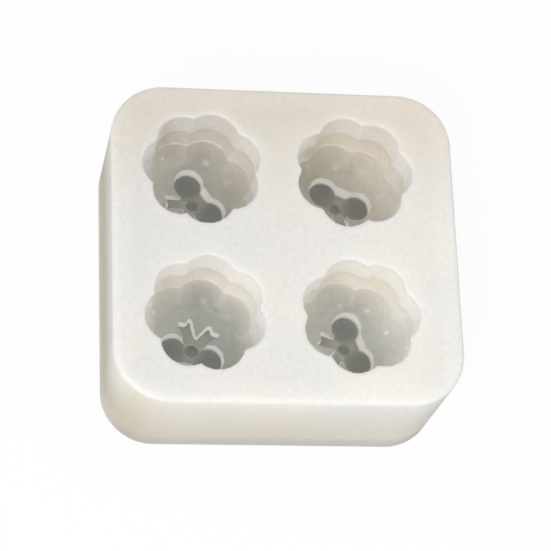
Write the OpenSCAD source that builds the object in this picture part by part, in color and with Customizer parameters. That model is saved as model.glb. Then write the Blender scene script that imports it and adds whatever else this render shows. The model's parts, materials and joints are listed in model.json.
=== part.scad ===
// Four-cavity silicone mould for small resin castings.
// A solid rounded block, poured in one shot, with four open pockets in its top face.
// Each pocket is the negative of a puffy flower: three stacked tiers of round lobes,
// and a ribbon bow sunk into the domed floor.
// Origin: the middle of the underside. +X runs along the width, +Z points up.

/* [Block] */
// Width of the block, along X
block_w = 70; // [66:0.5:90]
// Length of the block, along Y
block_l = 67; // [64:0.5:90]
// Height of the block
block_h = 30; // [26:0.5:40]
// Radius of the four upright corners
corner_r = 10.9; // [6:0.1:14]
// Rounding of the edge round the top face
rim_r = 0.8; // [0.3:0.1:2]
// Rounding of the edge round the underside
foot_r = 0.5; // [0.2:0.1:2]

/* [Pocket layout] */
// Distance between pocket centres, along X
pitch_x = 31; // [29:0.5:34]
// Distance between pocket centres, along Y
pitch_y = 31; // [29:0.5:34]
// Shift of the whole group of pockets from the middle of the block, along X
shift_x = -1.1; // [-2:0.1:2]
// Shift of the whole group of pockets from the middle of the block, along Y
shift_y = 0.4; // [-1:0.1:1]
// Turn of each flower: back left, back right, front left, front right
turns = [226, 257, 83, 208]; // [0:1:359]

/* [Flower] */
// Number of lobes round the flower
lobe_count = 7; // [6:1:9]
// Distance of the lobe centres from the middle of the flower
ring_r = 6.6; // [6:0.1:7.5]
// Radius of one lobe where it meets the top face
mouth_r = 5.3; // [4.8:0.1:6]
// Radius of one lobe at the creases between the tiers
crease_r = 5.2; // [4.6:0.1:5.8]
// Height of the first tier, below the top face
tier_1_h = 6.6; // [5:0.1:8]
// Height of the second tier
tier_2_h = 6.4; // [5:0.1:8]
// How much the round ends of the third tier swell past the crease above them
dome_swell = 0.1; // [0.05:0.05:0.8]
// Depth of the floor's middle below the upper edge of the third tier
heart_h = 6.6; // [4:0.1:7]
// Radius of the wide dome that forms the middle of the floor
heart_r = 60; // [30:1:90]
// How far each horn, where four lobes meet at a crease, is blunted
horn_blunt = 0.25; // [0.1:0.05:0.5]

/* [Bow] */
// Turn of the bow from the first lobe of its flower
bow_turn = -10; // [-30:1:30]
// Distance of the line between the loops from the middle of the flower, away from the tails
bow_back = 2.2; // [0:0.1:3]
// Depth of the tails below the middle of the floor
bow_h = 1.8; // [1:0.1:3]
// Depth of the gathered ribbon below the tails
waist_h = 0.6; // [0.1:0.1:0.6]
// Depth of the loops below the tails
loop_h = 0.8; // [0.7:0.1:2]
// Depth of the knot below the loops
knot_h = 0.5; // [0.2:0.1:1]
// Distance between the centres of the two loops
loop_gap = 7.5; // [6:0.1:9]
// Radius of one loop, where it rises from the flower
loop_r = 3.1; // [2.8:0.1:3.4]
// How far the side of a loop leans in towards its end
loop_lean = 0.2; // [0.1:0.05:0.6]
// Crown at the end of each loop
loop_crown = 0.6; // [0.3:0.1:1]
// Width of the gathered ribbon between the loops, where it rises from the flower
waist_w = 4.8; // [4.2:0.1:5.2]
// How far each side of the gathered ribbon leans in towards its end
waist_lean = 1.1; // [0.3:0.1:1.3]
// Distance of the knot from the line between the two loops, towards the tails
knot_out = 1.5; // [1:0.1:2]
// Radius of the knot
knot_r = 1.25; // [1:0.05:1.6]
// Length of one ribbon tail, from the middle of the knot to its corners
tail_l = 6.2; // [4:0.1:7]
// Width of one ribbon tail at the knot
tail_root_w = 2.2; // [1.5:0.1:2.4]
// Width of one ribbon tail at its end
tail_end_w = 3; // [1.5:0.1:4]
// Depth of the notch in the end of a tail
tail_notch = 1; // [0:0.1:2]
// Angle between each tail and the bow's axis
tail_splay = 34; // [25:1:45]

/* [Hidden] */
$fn = 64;
// How far cutting solids run past the face that they open
past = 2;
// Number of flats that round each small edge
edge_steps = 4;
lobe_pitch = 360 / lobe_count;
crease_1 = tier_1_h;
crease_2 = tier_1_h + tier_2_h;
dome_r = crease_r + dome_swell;
floor_depth = crease_2 + heart_h;
bow_depth = floor_depth + bow_h;
waist_depth = bow_depth + waist_h;
loop_depth = bow_depth + loop_h;
knot_depth = loop_depth + knot_h;
// Radius of a loop's flat end, and of the crown on it
loop_end_r = loop_r - loop_lean;
crown_r = 0.85 * loop_end_r;
// Half the width of the gathered ribbon's flat end
waist_end = waist_w / 2 - waist_lean;
// Distance of the horns, where four lobes meet at a crease, from the middle of the flower
half_chord = ring_r * sin(lobe_pitch / 2);
horn_r = ring_r * cos(lobe_pitch / 2) + sqrt(crease_r * crease_r - half_chord * half_chord);
// Pocket centres, in the order of the turns
centres = [
    [shift_x - pitch_x / 2, shift_y + pitch_y / 2],
    [shift_x + pitch_x / 2, shift_y + pitch_y / 2],
    [shift_x - pitch_x / 2, shift_y - pitch_y / 2],
    [shift_x + pitch_x / 2, shift_y - pitch_y / 2],
];

// Points of a quarter circle of radius r about c, from angle a
function quarter(c, r, a) = [for (i = [0 : edge_steps]) c + r * [cos(a + 90 * i / edge_steps),
                                                               sin(a + 90 * i / edge_steps)]];

// Section of the block's edge: it reaches out to x = reach, with both ends rounded
module edge_section(reach) {
    polygon(concat([[0, 0]],
        quarter([reach - foot_r, foot_r], foot_r, -90),
        quarter([reach - rim_r, block_h - rim_r], rim_r, 0),
        [[0, block_h]]));
}

// One straight side of the block, facing +X, from the inner core outwards
module side(reach, length) {
    rotate([90, 0, 0])
        translate([0, 0, -length / 2])
            linear_extrude(length) edge_section(reach);
}

module block() {
    core_w = block_w - 2 * corner_r;
    core_l = block_l - 2 * corner_r;
    translate([-core_w / 2, -core_l / 2, 0]) cube([core_w, core_l, block_h]);
    for (end = [0, 180]) {
        rotate(end) translate([core_w / 2, 0, 0]) side(corner_r, core_l);
        rotate(end + 90) translate([core_l / 2, 0, 0]) side(corner_r, core_w);
    }
    for (corner = [[1, 1, 0], [-1, 1, 90], [-1, -1, 180], [1, -1, 270]])
        translate([corner[0] * core_w / 2, corner[1] * core_l / 2, 0])
            rotate(corner[2]) rotate_extrude(angle = 90) edge_section(corner_r);
}

// A ring of balls, at a depth below the top face
module ball_ring(depth, ball_r) {
    for (i = [0 : lobe_count - 1])
        rotate(i * lobe_pitch) translate([ring_r, 0, -depth]) sphere(ball_r);
}

// Depth of a ball's centre below the upper edge of its tier, where the ball has
// the radius upper_r at that edge and lower_r at the tier's lower edge
function centre_of(upper_r, lower_r, height) =
    (lower_r * lower_r - upper_r * upper_r + height * height) / (2 * height);

// One tier: a ring of balls whose upper edge is at a depth
module tier(depth, upper_r, lower_r, height) {
    centre = centre_of(upper_r, lower_r, height);
    ball_ring(depth + centre, sqrt(upper_r * upper_r + centre * centre));
}

// A thin disc at a crease, which blunts the horns between the lobes
module blunting_disc(depth) {
    thickness = 4 * horn_blunt;
    translate([0, 0, -depth - thickness / 2]) cylinder(h = thickness, r = horn_r + horn_blunt);
}

// The middle of the flower: a lens whose wide lower face makes the floor a shallow dome,
// and a core that opens it to the top
module heart() {
    intersection() {
        translate([0, 0, heart_r - floor_depth]) sphere(heart_r);
        translate([0, 0, -crease_2]) sphere(horn_r - horn_blunt);
    }
    translate([0, 0, -crease_2]) cylinder(h = crease_2 + past, r = ring_r);
}

module flower() {
    tier(0, mouth_r, crease_r, tier_1_h);
    tier(crease_1, crease_r, crease_r, tier_2_h);
    ball_ring(crease_2 + sqrt(dome_r * dome_r - crease_r * crease_r), dome_r);
    blunting_disc(crease_1);
    blunting_disc(crease_2);
    heart();
}

// One ribbon tail, along +X, with a notched end
module tail() {
    polygon([
        [0, -tail_root_w / 2],
        [tail_l, -tail_end_w / 2],
        [tail_l - tail_notch, 0],
        [tail_l, tail_end_w / 2],
        [0, tail_root_w / 2],
    ]);
}

// One loop of the bow: a short tapered drum, with a crown that rises from its flat end inside a small rim
module loop_pad() {
    crown_ball = (crown_r * crown_r + loop_crown * loop_crown) / (2 * loop_crown);
    translate([0, 0, -floor_depth]) cylinder(h = heart_h, r = loop_r);
    translate([0, 0, -loop_depth]) cylinder(h = loop_depth - floor_depth, r1 = loop_end_r, r2 = loop_r);
    intersection() {
        translate([0, 0, -loop_depth - loop_crown + crown_ball]) sphere(crown_ball);
        translate([0, 0, -loop_depth - 2 * loop_crown])
            cylinder(h = 4 * loop_crown, r = (crown_r + loop_end_r) / 2);
    }
}

// The gathered ribbon between the two loops, along Y, with leaning sides
module gather() {
    translate([0, loop_gap / 2, 0]) rotate([90, 0, 0]) linear_extrude(loop_gap) polygon([
        [waist_end, -waist_depth],
        [waist_w / 2, -floor_depth],
        [waist_w / 2, -crease_2],
        [-waist_w / 2, -crease_2],
        [-waist_w / 2, -floor_depth],
        [-waist_end, -waist_depth],
    ]);
}

// A flat shape sunk to a depth, open upwards into the flower
module sunk(depth) {
    translate([0, 0, -depth]) linear_extrude(depth - crease_2) children();
}

module bow() {
    translate([-bow_back, 0, 0]) {
        for (s = [-1, 1])
            translate([0, s * loop_gap / 2, 0]) loop_pad();
        gather();
        translate([knot_out, 0, 0]) {
            sunk(knot_depth) circle(knot_r);
            for (s = [-1, 1])
                sunk(bow_depth) rotate(s * tail_splay) tail();
        }
    }
}

module pocket() {
    flower();
    rotate(bow_turn) bow();
}

module silicone_mould() {
    color([0.93, 0.92, 0.90])
        difference() {
            block();
            for (i = [0 : 3])
                translate([centres[i][0], centres[i][1], block_h]) rotate(turns[i]) pocket();
        }
}

silicone_mould();
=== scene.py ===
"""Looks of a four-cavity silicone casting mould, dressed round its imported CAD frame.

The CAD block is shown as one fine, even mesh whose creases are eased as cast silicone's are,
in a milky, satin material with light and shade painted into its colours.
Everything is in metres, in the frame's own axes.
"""

import json
import math

import bpy
import numpy as np
from mathutils import Matrix, Vector


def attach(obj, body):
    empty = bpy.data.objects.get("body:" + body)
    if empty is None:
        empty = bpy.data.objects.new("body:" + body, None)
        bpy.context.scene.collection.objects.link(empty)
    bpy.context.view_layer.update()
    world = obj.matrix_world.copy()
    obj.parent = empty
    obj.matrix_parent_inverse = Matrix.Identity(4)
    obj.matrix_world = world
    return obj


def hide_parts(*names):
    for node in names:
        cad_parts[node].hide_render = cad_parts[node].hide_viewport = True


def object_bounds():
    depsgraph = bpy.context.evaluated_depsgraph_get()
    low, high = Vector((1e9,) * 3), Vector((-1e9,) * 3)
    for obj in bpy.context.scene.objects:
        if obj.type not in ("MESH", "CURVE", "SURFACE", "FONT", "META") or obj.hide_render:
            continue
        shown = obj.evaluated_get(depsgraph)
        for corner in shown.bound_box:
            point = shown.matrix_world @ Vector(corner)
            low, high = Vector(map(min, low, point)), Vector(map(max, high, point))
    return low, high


MM = 0.001
# A place times FLAT is that place in plan
FLAT = Vector((1, 1, 0))
NODE = "silicone_mould"
POCKETS = ("front_left", "front_right", "back_left", "back_right")

# ---------------------------------------------------------------- the block's mesh in numbers

# Size of one voxel, and the share of faces kept when the even mesh is thinned
VOXEL = 0.32 * MM
KEPT_FACES = 0.45

# Rounds of smoothing: everywhere, then on all that stands above the pockets' floors
EASE_ROUNDS = 4
LOBE_ROUNDS = 14
# How each round of smoothing moves a point to its neighbours' mean and back
PULL_IN = 0.5
PUSH_OUT = -0.52
# Height above the floors' middle over which the second smoothing comes in
LOBE_FADE = 1.5 * MM

# ---------------------------------------------------------------- colours

# Silicone: milky in bulk, warmer on the right, tinted in the middle and in clouds, darker and warmer
# towards the back
MILK_LEFT = (0.82, 0.80, 0.76, 1)
MILK_RIGHT = (0.885, 0.86, 0.81, 1)
MIDDLE_TINT = (0.965, 0.975, 0.99, 1)
CLOUD_TINT = (0.965, 0.98, 1.0, 1)
BACK_TINT = (0.92, 0.875, 0.81, 1)
GRAIN_TINT = (0.94, 0.93, 0.92, 1)

# Upright sides, from the top down, darker towards the foot as painted shade, with painted shade on the
# left side and at the front's left end
SIDE_TOP = (0.95, 0.92, 0.85, 1)
SIDE_LOW_SHADE = (0.80, 0.745, 0.66, 1)
SIDE_FOOT_SHADE = (0.52, 0.475, 0.42, 1)
FLANK_SHADE = (0.85, 0.84, 0.815, 1)
CORNER_SHADE = (0.83, 0.80, 0.735, 1)

# Pockets' walls, one colour for each of POCKETS in turn, with painted light and shade set for each
# pocket, and painted shade at their lips
TIER_UPPER = (
    (0.99, 0.955, 0.895, 1),
    (0.99, 0.95, 0.88, 1),
    (0.69, 0.665, 0.635, 1),
    (0.77, 0.725, 0.68, 1),
)
TIER_LOWER = (
    (0.985, 0.94, 0.875, 1),
    (0.98, 0.93, 0.86, 1),
    (0.71, 0.66, 0.60, 1),
    (0.82, 0.75, 0.66, 1),
)
LIP_SHADE = (0.86, 0.86, 0.86, 1)

# Pockets' floors, darker as painted shade where the rubber is thin, for each of POCKETS, and paler as
# painted light where light reaches them
POCKET_FLOOR_SHADE = (
    (0.49, 0.515, 0.50, 1),
    (0.575, 0.605, 0.58, 1),
    (0.54, 0.535, 0.495, 1),
    (0.645, 0.615, 0.545, 1),
)
POCKET_FLOOR_LIGHT = (1.0, 1.0, 0.985, 1)

# Bows: painted shade on their tails and, darker, on their loops and knot, and painted light on their
# cut walls for each of POCKETS
BOW_TAIL_SHADE = (0.53, 0.55, 0.54, 1)
BOW_DEEP_SHADE = (0.41, 0.425, 0.42, 1)
BOW_WALL_LIGHT = (
    (1.0, 0.99, 0.945, 1),
    (1.0, 0.975, 0.92, 1),
    (1.0, 0.96, 0.88, 1),
    (1.0, 0.955, 0.86, 1),
)

# Painted highlight on the crease edges, the air bubbles' own paleness, and painted light at the ends of
# the walls
PAINTED_LIGHT_AND_BUBBLES = (1.0, 0.985, 0.95, 1)

# ---------------------------------------------------------------- places on the block

# Heights in the pockets, above the underside. The bow's tails lie just above BOW_TAILS
CREASE_1 = 23.4 * MM
CREASE_2 = 17.0 * MM
POCKET_FLOOR = 10.4 * MM
BOW_TAILS = 8.5 * MM
BOW_CROWNS = 7.2 * MM

# A span is where a mask is 0 and where it is 1, and a band is its middle and its half width.

# Slopes: 1 is level and 0 is upright. The left side is told by how far its faces turn to -X
UPRIGHT_SLOPE = (0.75, 0.35)
WALL_SLOPE = (0.8, 0.5)
FLANK_TURN = (-0.5, -1.0)

# Distance past the block's sides, which is negative inside it, and height above the underside:
# together they tell the pockets from the outer sides and the underside
INWARDS = (-3.4 * MM, -5.3 * MM)
ABOVE_UNDERSIDE = (1 * MM, 4 * MM)

# Depths below the top face: the walls' colour, their upper and lower part, and the lip's painted shade
WALL_DEPTH = (0.1 * MM, 2.5 * MM)
TIER_DEPTH = 4 * MM
LIP_DEPTH = 0.6 * MM
LIP_HALF = 0.8 * MM

# Heights over the lower crease: the thin part starts here, and the lower tier's colour is full
THIN_START = (0.3 * MM, -0.7 * MM)
TIER_END = 1 * MM
# Share of thinness at the lower crease, which grows to 1 at this height over the floor's middle,
# and the share from which a bow's wall may show
THIN_AT_CREASE = 0.2
THIN_FULL = 1 * MM
THIN_ENOUGH = 0.5

# Heights over the floor's middle: the sunk bow, and the upper end of its walls
BOW_SINK = (-0.2 * MM, -1.2 * MM)
BOW_WALL_END = (0.6 * MM, 0.4 * MM)
# Heights over BOW_TAILS: the lower end of the bow's walls, painted bright as light
BOW_WALL_START = (-0.5 * MM, 0.5 * MM)

# Crease edges, painted pale as highlight: the height of each one's middle and its half width, then
# the noise that breaks them up, the part of it that is used, and how much of an edge is left at least
EDGE_1 = (CREASE_1 - 0.3 * MM, 0.7 * MM)
EDGE_2 = (CREASE_2 - 0.1 * MM, 0.6 * MM)
EDGE_NOISE = 420
EDGE_SPAN = (0.4, 0.6)
EDGE_LEAST = 0.35

# Air bubbles just under the skin of a pocket's floor: its pocket, its place from the pocket's
# middle in mm, and its radius in mm
BUBBLES = (
    ("front_right", (9.0, 2.8), 0.55),
    ("front_left", (-8.5, 5.9), 0.4),
    ("back_left", (-6.1, 8.9), 0.35),
)

# Places across a pocket, from its middle: the floor's left part, right part and far part, painted
# paler as light, how pale each is at most, and what the right-hand pockets add to the right part
LEE_SIDE = (1 * MM, -9 * MM)
LEE_SHARE = 0.5
LIT_SIDE = (3 * MM, 12 * MM)
LIT_SHARE = 0.3
LIT_SHARE_RIGHT = 0.4
FAR_SIDE = (3 * MM, 11 * MM)
FAR_SHARE = 0.2

# The walls' left and right ends, painted pale as light, how pale each is, and the left lips through
# which light glows
LEFT_END = (-6 * MM, -11 * MM)
LEFT_END_SHARE = 0.95
RIGHT_END = (6 * MM, 12 * MM)
RIGHT_END_SHARE = 0.4
LEFT_LIP = (-8 * MM, -11 * MM)

# Where the middle's tint comes in, along Y from the front, and the noise of the top face's clouds
MIDDLE_SPAN = (-28 * MM, 4 * MM)
CLOUD_NOISE = 55
CLOUD_SPAN = (0.35, 0.65)

# Heights on the sides for their painted shade: from the top down, with the share of that at the right,
# then the foot, and the darker band of painted shade on the left side
SIDE_SPAN = (28 * MM, 8 * MM)
SIDE_SHARE_RIGHT = 0.6
FOOT_SPAN = (7 * MM, 1 * MM)
FLANK_SHADE_BAND = (12 * MM, 14 * MM)
# The front's left end, darkened as painted shade: distances from the left side, and places along Y
CORNER_IN = (16 * MM, 2 * MM)
CORNER_SPAN = (-5 * MM, -25 * MM)

# ---------------------------------------------------------------- finish of the silicone

# Noise scales, per metre, the part of each noise that is used, and the range of the roughness
GRAIN_NOISE = 900
ROUGH_NOISE = 300
NOISE_SPAN = (0.3, 0.7)
ROUGHNESS = (0.36, 0.48)
# The thin floors are glossier: over this span of thinness, roughness falls to this share of itself
THIN_SPAN = (0.3, 0.8)
THIN_GLOSS = 0.6

# Bumps: noise scale and depth of the fine grain and of the skin, how strong both are, and the
# height of a bubble
FINE_NOISE = 2600
FINE_DEPTH = 0.004 * MM
SKIN_NOISE = 260
SKIN_DEPTH = 0.05 * MM
SKIN_STRENGTH = 0.5
BUBBLE_HEIGHT = 0.1 * MM

# How far light scatters at the top face, and in the pockets and the sides, and between which
# depths below the top face that changes. It goes further by SCATTER_GLOW at the bows' walls and
# the left lips, and SCATTER_RADIUS is each colour's share of it
SCATTER_TOP = 4 * MM
SCATTER_DEEP = 18 * MM
SCATTER_DEPTH = (3 * MM, 0.3 * MM)
SCATTER_GLOW = 2.0
SCATTER_RADIUS = (1.0, 0.96, 0.9)
SILICONE_IOR = 1.41

# ---------------------------------------------------------------- floor, light and camera in numbers

# Floor: half its width in metres, its grey, the share of glow that the camera sees over it, and
# how bright that is
FLOOR_HALF = 1.5
FLOOR_GREY = (0.36, 0.36, 0.36, 1)
FLOOR_VEIL = 0.8
FLOOR_GLOW = 1.15

# Light: the sky's level, and the softbox's bearing and height in degrees, its distance and size in
# metres, and its level
SKY_LEVEL = 0.78
KEY_AZIMUTH = -30
KEY_ELEVATION = 45
KEY_DISTANCE = 0.8
KEY_SIZE = 0.4
KEY_LEVEL = 0.45

# Camera: its bearing round the block, height above the horizon and tilt about its own axis, all in
# degrees. The lens and the sensor are in millimetres
CAMERA_AZIMUTH = -25.0
CAMERA_ELEVATION = 67.25
CAMERA_ROLL = 24.7
CAMERA_DISTANCE = 471 * MM
CAMERA_TARGET = Vector((2.7, 4.3, 0)) * MM
CAMERA_LENS = 144.4
SENSOR_WIDTH = 36
CLIP_START = 10 * MM
CLIP_END = 10.0


def link(obj):
    bpy.context.scene.collection.objects.link(obj)
    return obj


# ---------------------------------------------------------------- mesh of the block


def even_mesh(source, voxel):
    """A closed mesh of even quads over a CAD mesh, made by a voxel remesh."""
    piece = link(bpy.data.objects.new("even", source.data.copy()))
    remesh = piece.modifiers.new("remesh", "REMESH")
    remesh.mode = "VOXEL"
    remesh.voxel_size = voxel
    remesh.use_smooth_shade = True
    evaluated = piece.evaluated_get(bpy.context.evaluated_depsgraph_get())
    mesh = bpy.data.meshes.new_from_object(evaluated)
    bpy.data.objects.remove(piece)
    return mesh


def neighbour_mean(points, edges, count):
    """Each point's mean of its neighbours along the edges."""
    total = np.zeros_like(points)
    for axis in range(3):
        total[:, axis] = np.bincount(edges[:, 0], points[edges[:, 1], axis], len(points))
        total[:, axis] += np.bincount(edges[:, 1], points[edges[:, 0], axis], len(points))
    return total / count[:, None]


def ease(mesh, rounds, share=None):
    """Smooths creases without shrinking the form: each round pulls in, then pushes back.

    share gives how far each point of an array of points takes part, from 0 to 1.
    """
    points = np.empty(len(mesh.vertices) * 3)
    mesh.vertices.foreach_get("co", points)
    points = points.reshape(-1, 3)
    edges = np.empty(len(mesh.edges) * 2, np.int64)
    mesh.edges.foreach_get("vertices", edges)
    edges = edges.reshape(-1, 2)
    count = np.bincount(edges.ravel(), minlength=len(points))
    part = 1.0 if share is None else share(points)[:, None]
    for _ in range(rounds):
        for step in (PULL_IN, PUSH_OUT):
            points += step * part * (neighbour_mean(points, edges, count) - points)
    mesh.vertices.foreach_set("co", points.ravel())
    mesh.update()


def above_floors(points):
    """1 above the pockets' floors, falling to 0 at the floors' middles and the bows in them."""
    return np.clip((points[:, 2] - POCKET_FLOOR) / LOBE_FADE, 0, 1)


def mould_body(cad):
    """The whole mould as one fine mesh with eased creases, made from the CAD node."""
    mesh = even_mesh(cad, VOXEL)
    ease(mesh, EASE_ROUNDS)
    ease(mesh, LOBE_ROUNDS, above_floors)
    body = link(bpy.data.objects.new("mould_body", mesh))
    thin = body.modifiers.new("thin", "DECIMATE")
    thin.ratio = KEPT_FACES
    evaluated = body.evaluated_get(bpy.context.evaluated_depsgraph_get())
    body.data = bpy.data.meshes.new_from_object(evaluated)
    body.modifiers.clear()
    for polygon in body.data.polygons:
        polygon.use_smooth = True
    return body


# ---------------------------------------------------------------- materials


class Nodes:
    """A short way to build one material's node tree."""

    def __init__(self, name):
        self.material = bpy.data.materials.new(name)
        self.material.use_nodes = True
        self.tree = self.material.node_tree
        self.tree.nodes.clear()
        self.output = self.add("OutputMaterial")

    def add(self, kind, **inputs):
        node = self.tree.nodes.new("ShaderNode" + kind)
        for name, value in inputs.items():
            self.set(node, name.replace("_", " "), value)
        return node

    def set(self, node, name, value):
        socket = node.inputs[name]
        if isinstance(value, bpy.types.NodeSocket):
            self.tree.links.new(value, socket)
        else:
            socket.default_value = value

    def noise(self, vector, scale, detail=3.0):
        return self.add("TexNoise", Vector=vector, Scale=scale, Detail=detail).outputs["Fac"]

    def span(self, value, low, high, to_low=0.0, to_high=1.0, smooth=False):
        """value, moved from low..high to to_low..to_high and kept within them."""
        node = self.add("MapRange")
        node.interpolation_type = "SMOOTHSTEP" if smooth else "LINEAR"
        for name, number in (("Value", value), ("From Min", low), ("From Max", high),
                             ("To Min", to_low), ("To Max", to_high)):
            self.set(node, name, number)
        return node.outputs["Result"]

    def band(self, value, middle, half):
        """1 where value is at the middle, falling to 0 at half away."""
        away = self.math("ABSOLUTE", self.math("SUBTRACT", value, middle))
        return self.span(away, half, 0.0, smooth=True)

    def mix(self, factor, first, second, way="MIX"):
        node = self.tree.nodes.new("ShaderNodeMix")
        node.data_type = "RGBA"
        node.blend_type = way
        # An RGBA mix node's own sockets: the factor, then its two colours
        for index, value in ((0, factor), (6, first), (7, second)):
            self.set(node, index, value)
        return node.outputs[2]

    def tint(self, factor, colour, tint):
        """colour, multiplied by the tint as far as the factor says."""
        return self.mix(factor, colour, tint, way="MULTIPLY")

    def math(self, operation, *values):
        node = self.tree.nodes.new("ShaderNodeMath")
        node.operation = operation
        for index, value in enumerate(values):
            self.set(node, index, value)
        return node.outputs[0]

    def times(self, first, *others):
        """The product of all the values."""
        for other in others:
            first = self.math("MULTIPLY", first, other)
        return first

    def rest(self, value):
        """What is left of 1."""
        return self.math("SUBTRACT", 1.0, value)

    def vector(self, operation, *values):
        node = self.tree.nodes.new("ShaderNodeVectorMath")
        node.operation = operation
        for index, value in enumerate(values):
            self.set(node, index, value)
        return node.outputs["Value" if operation == "DISTANCE" else "Vector"]

    def bump(self, height, depth, strength, **under):
        """A normal raised by the height, over another normal if there is one."""
        node = self.add("Bump", Height=height, Distance=depth, Strength=strength, **under)
        return node.outputs["Normal"]


def pocket_middle(record, name):
    """The middle of a pocket, from the box that the record keeps open in it."""
    boxes = {opening["name"]: opening["box_m"] for opening in record["physics"]["openings"]}
    low, high = boxes[f"pocket_{name}_middle"]
    return (Vector(low) + Vector(high)) / 2


class Silicone(Nodes):
    """Milky cast silicone in a satin finish, whose colours go by the place on the block and carry
    painted light and shade.
    """

    def __init__(self, half_w, half_l, top, middles):
        """The block's half width, half length and height, and the middle of each pocket by its name."""
        super().__init__("milky_silicone")
        self.half_w = half_w
        self.half_l = half_l
        self.top = top
        self.place = self.add("TexCoord").outputs["Object"]
        self.plan = self.vector("MULTIPLY", self.place, FLAT)
        self.x, self.y, self.z = self.add("SeparateXYZ", Vector=self.place).outputs
        normal = self.add("NewGeometry").outputs["Normal"]
        turn_x, _, self.level = self.add("SeparateXYZ", Vector=normal).outputs
        self.flank = self.span(turn_x, *FLANK_TURN, smooth=True)
        self.find_pockets()
        self.find_bows()
        self.find_own_pocket(middles["front_left"], middles["back_right"])
        self.find_highlights_and_bubbles(middles)
        self.finish(self.all_colours())

    def over(self, height, span, **how):
        """A mask by height, over a span that is given from the height."""
        low, high = span
        return self.span(self.z, height + low, height + high, **how)

    def find_pockets(self):
        """Masks of the pockets, and of the part of them below the lower crease."""
        past_x = self.math("SUBTRACT", self.math("ABSOLUTE", self.x), self.half_w)
        past_y = self.math("SUBTRACT", self.math("ABSOLUTE", self.y), self.half_l)
        outwards = self.math("MAXIMUM", past_x, past_y)
        self.inside = self.times(self.span(outwards, *INWARDS, smooth=True),
                                 self.span(self.z, *ABOVE_UNDERSIDE, smooth=True))
        start, end = WALL_DEPTH
        self.pocket = self.times(self.inside, self.span(self.z, self.top - start, self.top - end))
        deeper = self.span(self.z, CREASE_2, POCKET_FLOOR + THIN_FULL, THIN_AT_CREASE, 1.0)
        self.thin = self.times(self.inside, self.over(CREASE_2, THIN_START, smooth=True), deeper)

    def find_bows(self):
        """Masks of the sunk bows and of their walls."""
        self.bow = self.over(POCKET_FLOOR, BOW_SINK, smooth=True)
        self.bow_wall = self.times(self.span(self.level, *WALL_SLOPE, smooth=True),
                                   self.over(POCKET_FLOOR, BOW_WALL_END),
                                   self.math("GREATER_THAN", self.thin, THIN_ENOUGH),
                                   self.over(BOW_TAILS, BOW_WALL_START, smooth=True))

    def find_own_pocket(self, first, last):
        """Places among the four pockets, and from the middle of the nearest one.

        first and last are the middles of the front left and the back right pocket.
        """
        self.across = self.span(self.x, first.x, last.x)
        self.along = self.span(self.y, first.y, last.y)
        # Wrapping needs a range above 0 on each axis, so Z gets a metre each way
        half_pitch = (last - first) / 2 + Vector((0, 0, 1))
        from_first = self.vector("SUBTRACT", self.plan, first * FLAT)
        own = self.vector("WRAP", from_first, half_pitch, -half_pitch)
        self.sideways, self.backwards, _ = self.add("SeparateXYZ", Vector=own).outputs

    def find_highlights_and_bubbles(self, middles):
        """Masks of the bubbles, and of all that is painted pale: the bubbles, and the crease edges as
        painted highlight.
        """
        # Painted highlight along the crease edges
        edge = self.math("MAXIMUM", self.band(self.z, *EDGE_2), self.band(self.z, *EDGE_1))
        broken = self.span(self.noise(self.place, EDGE_NOISE), *EDGE_SPAN, EDGE_LEAST, 1.0)
        bubble = 0.0
        for name, offset, radius in BUBBLES:
            spot = middles[name] * FLAT + Vector((*offset, 0)) * MM
            away = self.vector("DISTANCE", self.plan, spot)
            dot = self.span(away, radius * MM, radius * MM / 2, smooth=True)
            bubble = self.math("MAXIMUM", bubble, dot)
        self.bubble = self.times(bubble, self.thin)
        self.pale = self.math("MAXIMUM", self.bubble, self.times(edge, broken, self.inside))

    def by_pocket(self, colours):
        """Four colours, for each of POCKETS in turn, blended between them."""
        front = self.mix(self.across, colours[0], colours[1])
        back = self.mix(self.across, colours[2], colours[3])
        return self.mix(self.along, front, back)

    def top_colour(self):
        milk = self.mix(self.span(self.x, -self.half_w, self.half_w), MILK_LEFT, MILK_RIGHT)
        clouds = self.span(self.noise(self.place, CLOUD_NOISE), *CLOUD_SPAN, smooth=True)
        milk = self.tint(clouds, milk, CLOUD_TINT)
        milk = self.tint(self.span(self.y, *MIDDLE_SPAN), milk, MIDDLE_TINT)
        # Darker and warmer towards the back of the top face
        return self.tint(self.span(self.y, 0, self.half_l, smooth=True), milk, BACK_TINT)

    def side_colour(self):
        off_flank = self.rest(self.flank)
        # Painted shade: the sides darker from the top down, less so on the right, and darkest at the
        # foot
        low = self.times(self.span(self.z, *SIDE_SPAN),
                         self.span(self.x, 0, self.half_w, 1.0, SIDE_SHARE_RIGHT))
        side = self.mix(low, SIDE_TOP, SIDE_LOW_SHADE)
        side = self.mix(self.times(self.span(self.z, *FOOT_SPAN), off_flank), side, SIDE_FOOT_SHADE)
        # Painted shade in a band on the left side
        side = self.tint(self.times(self.flank, self.band(self.z, *FLANK_SHADE_BAND)), side, FLANK_SHADE)
        # Painted shade at the front's left end
        start, end = CORNER_IN
        corner = self.times(self.span(self.x, start - self.half_w, end - self.half_w, smooth=True),
                            off_flank,
                            self.span(self.y, *CORNER_SPAN, smooth=True))
        return self.tint(corner, side, CORNER_SHADE)

    def wall_colour(self):
        # Painted light: the walls' left and right ends paler
        ends = self.math("MAXIMUM",
                         self.span(self.sideways, *LEFT_END, 0.0, LEFT_END_SHARE, smooth=True),
                         self.span(self.sideways, *RIGHT_END, 0.0, RIGHT_END_SHARE, smooth=True))
        # The walls' colours carry painted light and shade for each pocket
        down = self.span(self.z, self.top - TIER_DEPTH, CREASE_2 + TIER_END)
        tier = self.mix(down, self.by_pocket(TIER_UPPER), self.by_pocket(TIER_LOWER))
        return self.mix(ends, tier, PAINTED_LIGHT_AND_BUBBLES)

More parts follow.
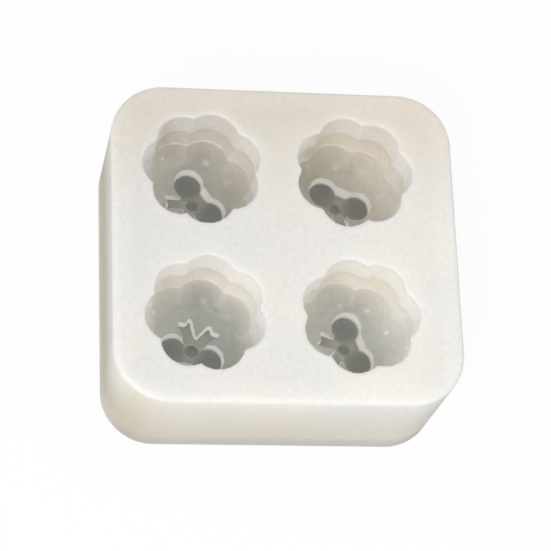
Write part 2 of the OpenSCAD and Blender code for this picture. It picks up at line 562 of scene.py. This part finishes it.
    def floor_colour(self):
        """The thin floors, darker as painted shade and paler as painted light where light reaches them,
        and the bows sunk in them.
        """
        # Painted light on the floor's left, right and far parts
        lee = self.times(self.span(self.sideways, *LEE_SIDE, 0.0, LEE_SHARE),
                         self.rest(self.times(self.across, self.along)))
        lit = self.times(self.span(self.sideways, *LIT_SIDE),
                         self.math("MULTIPLY_ADD", self.across, LIT_SHARE_RIGHT, LIT_SHARE))
        far = self.span(self.backwards, *FAR_SIDE, 0.0, FAR_SHARE)
        painted_floor_light = self.math("ADD", self.math("MAXIMUM", lee, lit), far)
        painted_floor = self.mix(painted_floor_light, self.by_pocket(POCKET_FLOOR_SHADE), POCKET_FLOOR_LIGHT)
        # Painted shade: the sunk bow darker the deeper it lies
        sunk = self.mix(self.span(self.z, BOW_TAILS, BOW_CROWNS, smooth=True), BOW_TAIL_SHADE, BOW_DEEP_SHADE)
        return self.mix(self.bow, painted_floor, sunk)

    def all_colours(self):
        upright = self.span(self.math("ABSOLUTE", self.level), *UPRIGHT_SLOPE, smooth=True)
        # Painted shade in a band at the pockets' lips
        lip = self.times(self.inside, self.band(self.z, self.top - LIP_DEPTH, LIP_HALF))
        grain = self.span(self.noise(self.place, GRAIN_NOISE, detail=4), *NOISE_SPAN)
        colour = self.mix(upright, self.top_colour(), self.side_colour())
        colour = self.mix(self.pocket, colour, self.wall_colour())
        colour = self.tint(lip, colour, LIP_SHADE)
        colour = self.mix(self.thin, colour, self.floor_colour())
        # Painted light on the bows' walls
        colour = self.mix(self.bow_wall, colour, self.by_pocket(BOW_WALL_LIGHT))
        # Painted highlight on the crease edges, and the bubbles' own paleness
        colour = self.mix(self.pale, colour, PAINTED_LIGHT_AND_BUBBLES)
        return self.tint(grain, colour, GRAIN_TINT)

    def finish(self, colour):
        """The shader, with its roughness, bumps and scatter."""
        uneven = self.noise(self.place, ROUGH_NOISE, detail=4)
        rough = self.times(self.span(uneven, *NOISE_SPAN, *ROUGHNESS),
                           self.span(self.thin, *THIN_SPAN, 1.0, THIN_GLOSS))
        normal = self.bump(self.noise(self.place, FINE_NOISE, detail=2), FINE_DEPTH, SKIN_STRENGTH)
        normal = self.bump(self.noise(self.place, SKIN_NOISE), SKIN_DEPTH, SKIN_STRENGTH, Normal=normal)
        normal = self.bump(self.bubble, BUBBLE_HEIGHT, 1.0, Normal=normal)
        start, end = SCATTER_DEPTH
        scatter = self.span(self.z, self.top - start, self.top - end, SCATTER_DEEP, SCATTER_TOP)
        lip = self.times(self.pocket, self.span(self.sideways, *LEFT_LIP))
        glowing = self.math("MAXIMUM", self.bow_wall, lip)
        scatter = self.times(scatter, self.span(glowing, 0.0, 1.0, 1.0, SCATTER_GLOW))
        shader = self.add("BsdfPrincipled", Base_Color=colour, Roughness=rough, IOR=SILICONE_IOR,
                          Subsurface_Weight=1.0, Subsurface_Radius=SCATTER_RADIUS,
                          Subsurface_Scale=scatter, Normal=normal)
        self.set(self.output, "Surface", shader.outputs[0])


def white_floor():
    """A pale floor that the camera sees as near white, with the block's shadow kept."""
    n = Nodes("white_floor")
    seen = n.add("LightPath").outputs["Is Camera Ray"]
    paper = n.add("BsdfDiffuse", Color=FLOOR_GREY)
    glow = n.add("Emission", Color=(1, 1, 1, 1), Strength=FLOOR_GLOW)
    veil = n.add("MixShader", Fac=n.times(seen, FLOOR_VEIL))
    n.set(veil, 1, paper.outputs[0])
    n.set(veil, 2, glow.outputs[0])
    n.set(n.output, "Surface", veil.outputs[0])
    return n.material


# ---------------------------------------------------------------- floor, light and camera


def floor():
    half = FLOOR_HALF
    mesh = bpy.data.meshes.new("floor")
    corners = [(-half, -half, 0), (half, -half, 0), (half, half, 0), (-half, half, 0)]
    mesh.from_pydata(corners, [], [(0, 1, 2, 3)])
    mesh.materials.append(white_floor())
    link(bpy.data.objects.new("floor", mesh))


def bearing(azimuth, elevation):
    """The unit vector towards a viewer at that azimuth and elevation, in degrees."""
    a, e = math.radians(azimuth), math.radians(elevation)
    return Vector((math.sin(a) * math.cos(e), -math.cos(a) * math.cos(e), math.sin(e)))


def softbox(name, azimuth, elevation, distance, size, level):
    """A square lamp that lights a white surface facing it to the given level."""
    lamp = bpy.data.lights.new(name, "AREA")
    lamp.size = size
    lamp.energy = level * (math.pi * distance) ** 2
    obj = link(bpy.data.objects.new(name, lamp))
    back = bearing(azimuth, elevation)
    obj.location = back * distance
    obj.rotation_mode = "QUATERNION"
    obj.rotation_quaternion = (-back).to_track_quat("-Z", "Y")


def sky(level):
    """An even white sky of that level, which the camera itself sees at full white."""
    world = bpy.data.worlds.new("sky")
    bpy.context.scene.world = world
    world.use_nodes = True
    tree = world.node_tree
    shade = tree.nodes["Background"]
    shade.inputs["Color"].default_value = (1, 1, 1, 1)
    path = tree.nodes.new("ShaderNodeLightPath")
    strength = tree.nodes.new("ShaderNodeMapRange")
    tree.links.new(path.outputs["Is Camera Ray"], strength.inputs["Value"])
    strength.inputs["To Min"].default_value = level
    strength.inputs["To Max"].default_value = 1.0
    tree.links.new(strength.outputs["Result"], shade.inputs["Strength"])


def camera():
    data = bpy.data.cameras.new("camera")
    data.sensor_width = SENSOR_WIDTH
    data.lens = CAMERA_LENS
    data.clip_start = CLIP_START
    data.clip_end = CLIP_END
    back = bearing(CAMERA_AZIMUTH, CAMERA_ELEVATION)
    azimuth = math.radians(CAMERA_AZIMUTH)
    level = Vector((math.cos(azimuth), math.sin(azimuth), 0))
    upright = Matrix((level, back.cross(level), back)).transposed()
    turn = Matrix.Rotation(math.radians(CAMERA_ROLL), 3, "Z")
    spot = Matrix.Translation(CAMERA_TARGET + back * CAMERA_DISTANCE)
    obj = link(bpy.data.objects.new("camera", data))
    obj.matrix_world = spot @ (upright @ turn).to_4x4()
    bpy.context.scene.camera = obj


# ---------------------------------------------------------------- the scene

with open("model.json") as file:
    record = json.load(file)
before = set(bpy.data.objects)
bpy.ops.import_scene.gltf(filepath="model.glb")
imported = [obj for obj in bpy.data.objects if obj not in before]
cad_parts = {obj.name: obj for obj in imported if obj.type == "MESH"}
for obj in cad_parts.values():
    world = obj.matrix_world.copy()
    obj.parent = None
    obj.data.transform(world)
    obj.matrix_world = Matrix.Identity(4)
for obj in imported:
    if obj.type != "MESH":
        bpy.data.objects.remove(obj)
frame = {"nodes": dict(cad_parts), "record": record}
cad_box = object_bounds()
bpy.context.scene.view_settings.view_transform = "Standard"

camera()
floor()
sky(SKY_LEVEL)
softbox("key", KEY_AZIMUTH, KEY_ELEVATION, KEY_DISTANCE, KEY_SIZE, KEY_LEVEL)

body = mould_body(frame["nodes"][NODE])
body.data.materials.clear()
# The block's middle is over the origin, so its highest corner gives its half sizes
half_w, half_l, top = cad_box[1]
middles = {name: pocket_middle(frame["record"], name) for name in POCKETS}
body.data.materials.append(Silicone(half_w, half_l, top, middles).material)
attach(body, "root")
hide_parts(NODE)
